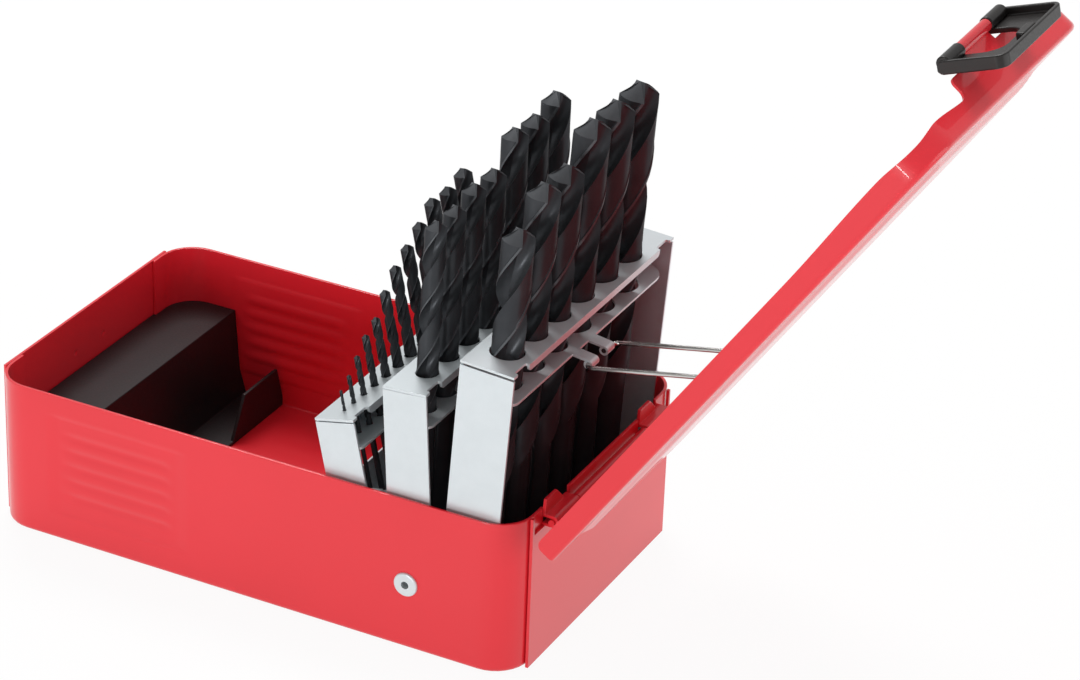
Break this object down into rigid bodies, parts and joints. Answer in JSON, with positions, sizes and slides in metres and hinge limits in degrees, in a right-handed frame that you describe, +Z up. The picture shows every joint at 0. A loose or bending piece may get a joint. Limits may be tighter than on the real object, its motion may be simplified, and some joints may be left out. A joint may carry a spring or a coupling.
{
  "type": "drill bit case",
  "caption": "Hinged sheet-metal case whose lid swings up three stepped racks holding graded twist drills, with an over-centre clasp at its free end",
  "frame": {"origin": "centre of the tray's flat underside", "axes": "+Z up, +X along the case towards the lid's hinge, -Y the front long wall"},
  "size_m": [0.3184, 0.115, 0.2231],
  "materials": {
    "red_paint": "gloss",
    "zinc": "bright zinc plate",
    "steel_wire": "bright drawn wire",
    "drill_steel": "steam-blackened with ground lands",
    "black_plastic": "moulded satin"
  },
  "bodies": {
    "case": {"tray_body": "red_paint", "tray_hinge_end": "red_paint", "tray_latch_end": "red_paint", "latch_catch": "red_paint", "tip_guard": "black_plastic", "hinge_pin": "steel_wire", "pivot_rivet_front": "zinc", "pivot_rivet_back": "zinc"},
    "lid": {"lid_shell": "red_paint", "lid_link_strap": "red_paint", "clasp_pin": "steel_wire"},
    "clasp": {"clasp": "black_plastic"},
    "mid_rack": {"mid_rack_frame": "zinc", "mid_rack_holder": "zinc", "mid_rack_stair": "zinc", "rack_link_front": "zinc", "rack_link_back": "zinc", "small_rack_rivets": "zinc", "large_rack_rivets": "zinc"},
    "small_rack": {"small_rack_frame": "zinc", "small_rack_holder": "zinc", "small_rack_stair": "zinc"},
    "large_rack": {"large_rack_frame": "zinc", "large_rack_holder": "zinc"},
    "wire": {"wire_link": "steel_wire"},
    "drill_01_0": {"drill_01_0": "drill_steel"},
    "drill_01_5": {"drill_01_5": "drill_steel"},
    "drill_02_0": {"drill_02_0": "drill_steel"},
    "drill_02_5": {"drill_02_5": "drill_steel"},
    "drill_03_0": {"drill_03_0": "drill_steel"},
    "drill_03_5": {"drill_03_5": "drill_steel"},
    "drill_04_0": {"drill_04_0": "drill_steel"},
    "drill_04_5": {"drill_04_5": "drill_steel"},
    "drill_05_0": {"drill_05_0": "drill_steel"},
    "drill_05_5": {"drill_05_5": "drill_steel"},
    "drill_06_0": {"drill_06_0": "drill_steel"},
    "drill_06_5": {"drill_06_5": "drill_steel"},
    "drill_07_0": {"drill_07_0": "drill_steel"},
    "drill_07_5": {"drill_07_5": "drill_steel"},
    "drill_08_0": {"drill_08_0": "drill_steel"},
    "drill_08_5": {"drill_08_5": "drill_steel"},
    "drill_09_0": {"drill_09_0": "drill_steel"},
    "drill_09_5": {"drill_09_5": "drill_steel"},
    "drill_10_0": {"drill_10_0": "drill_steel"},
    "drill_10_5": {"drill_10_5": "drill_steel"},
    "drill_11_0": {"drill_11_0": "drill_steel"},
    "drill_11_5": {"drill_11_5": "drill_steel"},
    "drill_12_0": {"drill_12_0": "drill_steel"},
    "drill_12_5": {"drill_12_5": "drill_steel"},
    "drill_13_0": {"drill_13_0": "drill_steel"}
  },
  "joints": [
    {"name": "lid_hinge", "type": "hinge", "parent": "case", "child": "lid", "pos_m": [0.0974, 0, 0.0484], "axis": [0, -1, 0], "range_deg": [0, 124.5]},
    {"name": "clasp_hinge", "type": "hinge", "parent": "lid", "child": "clasp", "pos_m": [0.20124, 0, 0.21591], "axis": [0, -1, 0], "range_deg": [0, 131.5]},
    {"name": "mid_rack_fold", "type": "hinge", "parent": "case", "child": "mid_rack", "pos_m": [0.0571, 0, 0.023], "axis": [0, -1, 0], "range_deg": [0, 86.7]},
    {"name": "small_rack_fold", "type": "hinge", "parent": "mid_rack", "child": "small_rack", "pos_m": [0.04593, 0, 0.01094], "axis": [0, -1, 0], "range_deg": [-9.06, 0]},
    {"name": "large_rack_fold", "type": "hinge", "parent": "mid_rack", "child": "large_rack", "pos_m": [0.06975, 0, 0.00941], "axis": [0, -1, 0], "range_deg": [0, 6.95]},
    {"name": "wire_swing", "type": "hinge", "parent": "large_rack", "child": "wire", "pos_m": [0.09481, 0, 0.08957], "axis": [0, -1, 0], "range_deg": [-105.84, 0]},
    {"name": "drill_01_0_lift", "type": "slide", "parent": "small_rack", "child": "drill_01_0", "axis": [0.2141, 0, -0.9768], "range_m": [-0.029, 0]},
    {"name": "drill_01_5_lift", "type": "slide", "parent": "small_rack", "child": "drill_01_5", "axis": [0.2141, 0, -0.9768], "range_m": [-0.0325, 0]},
    {"name": "drill_02_0_lift", "type": "slide", "parent": "small_rack", "child": "drill_02_0", "axis": [0.2141, 0, -0.9768], "range_m": [-0.038, 0]},
    {"name": "drill_02_5_lift", "type": "slide", "parent": "small_rack", "child": "drill_02_5", "axis": [0.2141, 0, -0.9768], "range_m": [-0.042, 0]},
    {"name": "drill_03_0_lift", "type": "slide", "parent": "small_rack", "child": "drill_03_0", "axis": [0.2141, 0, -0.9768], "range_m": [-0.043, 0]},
    {"name": "drill_03_5_lift", "type": "slide", "parent": "small_rack", "child": "drill_03_5", "axis": [0.2141, 0, -0.9768], "range_m": [-0.0465, 0]},
    {"name": "drill_04_0_lift", "type": "slide", "parent": "small_rack", "child": "drill_04_0", "axis": [0.2141, 0, -0.9768], "range_m": [-0.0465, 0]},
    {"name": "drill_04_5_lift", "type": "slide", "parent": "small_rack", "child": "drill_04_5", "axis": [0.2141, 0, -0.9768], "range_m": [-0.048, 0]},
    {"name": "drill_05_0_lift", "type": "slide", "parent": "small_rack", "child": "drill_05_0", "axis": [0.2141, 0, -0.9768], "range_m": [-0.0505, 0]},
    {"name": "drill_05_5_lift", "type": "slide", "parent": "small_rack", "child": "drill_05_5", "axis": [0.2141, 0, -0.9768], "range_m": [-0.053, 0]},
    {"name": "drill_06_0_lift", "type": "slide", "parent": "small_rack", "child": "drill_06_0", "axis": [0.2141, 0, -0.9768], "range_m": [-0.0535, 0]},
    {"name": "drill_06_5_lift", "type": "slide", "parent": "small_rack", "child": "drill_06_5", "axis": [0.2141, 0, -0.9768], "range_m": [-0.0595, 0]},
    {"name": "drill_07_0_lift", "type": "slide", "parent": "mid_rack", "child": "drill_07_0", "axis": [-0.0018, -0.0696, -0.9976], "range_m": [-0.0615, 0]},
    {"name": "drill_07_5_lift", "type": "slide", "parent": "mid_rack", "child": "drill_07_5", "axis": [0.0024, -0.0697, -0.9976], "range_m": [-0.0615, 0]},
    {"name": "drill_08_0_lift", "type": "slide", "parent": "mid_rack", "child": "drill_08_0", "axis": [0.0113, -0.0697, -0.9975], "range_m": [-0.0675, 0]},
    {"name": "drill_08_5_lift", "type": "slide", "parent": "mid_rack", "child": "drill_08_5", "axis": [0.0155, -0.0697, -0.9974], "range_m": [-0.068, 0]},
    {"name": "drill_09_0_lift", "type": "slide", "parent": "mid_rack", "child": "drill_09_0", "axis": [0.0193, -0.0697, -0.9974], "range_m": [-0.068, 0]},
    {"name": "drill_09_5_lift", "type": "slide", "parent": "mid_rack", "child": "drill_09_5", "axis": [0.0236, -0.0697, -0.9973], "range_m": [-0.069, 0]},
    {"name": "drill_10_0_lift", "type": "slide", "parent": "mid_rack", "child": "drill_10_0", "axis": [0.0299, -0.0697, -0.9971], "range_m": [-0.075, 0]},
    {"name": "drill_10_5_lift", "type": "slide", "parent": "large_rack", "child": "drill_10_5", "axis": [-0.0637, 0, -0.998], "range_m": [-0.0935, 0]},
    {"name": "drill_11_0_lift", "type": "slide", "parent": "large_rack", "child": "drill_11_0", "axis": [-0.0637, 0, -0.998], "range_m": [-0.0935, 0]},
    {"name": "drill_11_5_lift", "type": "slide", "parent": "large_rack", "child": "drill_11_5", "axis": [-0.0637, 0, -0.998], "range_m": [-0.0935, 0]},
    {"name": "drill_12_0_lift", "type": "slide", "parent": "large_rack", "child": "drill_12_0", "axis": [-0.0637, 0, -0.998], "range_m": [-0.0935, 0]},
    {"name": "drill_12_5_lift", "type": "slide", "parent": "large_rack", "child": "drill_12_5", "axis": [-0.0637, 0, -0.998], "range_m": [-0.0935, 0]},
    {"name": "drill_13_0_lift", "type": "slide", "parent": "large_rack", "child": "drill_13_0", "axis": [-0.0637, 0, -0.998], "range_m": [-0.0935, 0]}
  ],
  "couplings": [
    {"joint": "mid_rack_fold", "follows": "lid_hinge", "ratio": 0.69639},
    {"joint": "small_rack_fold", "follows": "lid_hinge", "ratio": -0.072771},
    {"joint": "large_rack_fold", "follows": "lid_hinge", "ratio": 0.055823},
    {"joint": "wire_swing", "follows": "lid_hinge", "ratio": -0.85008}
  ]
}
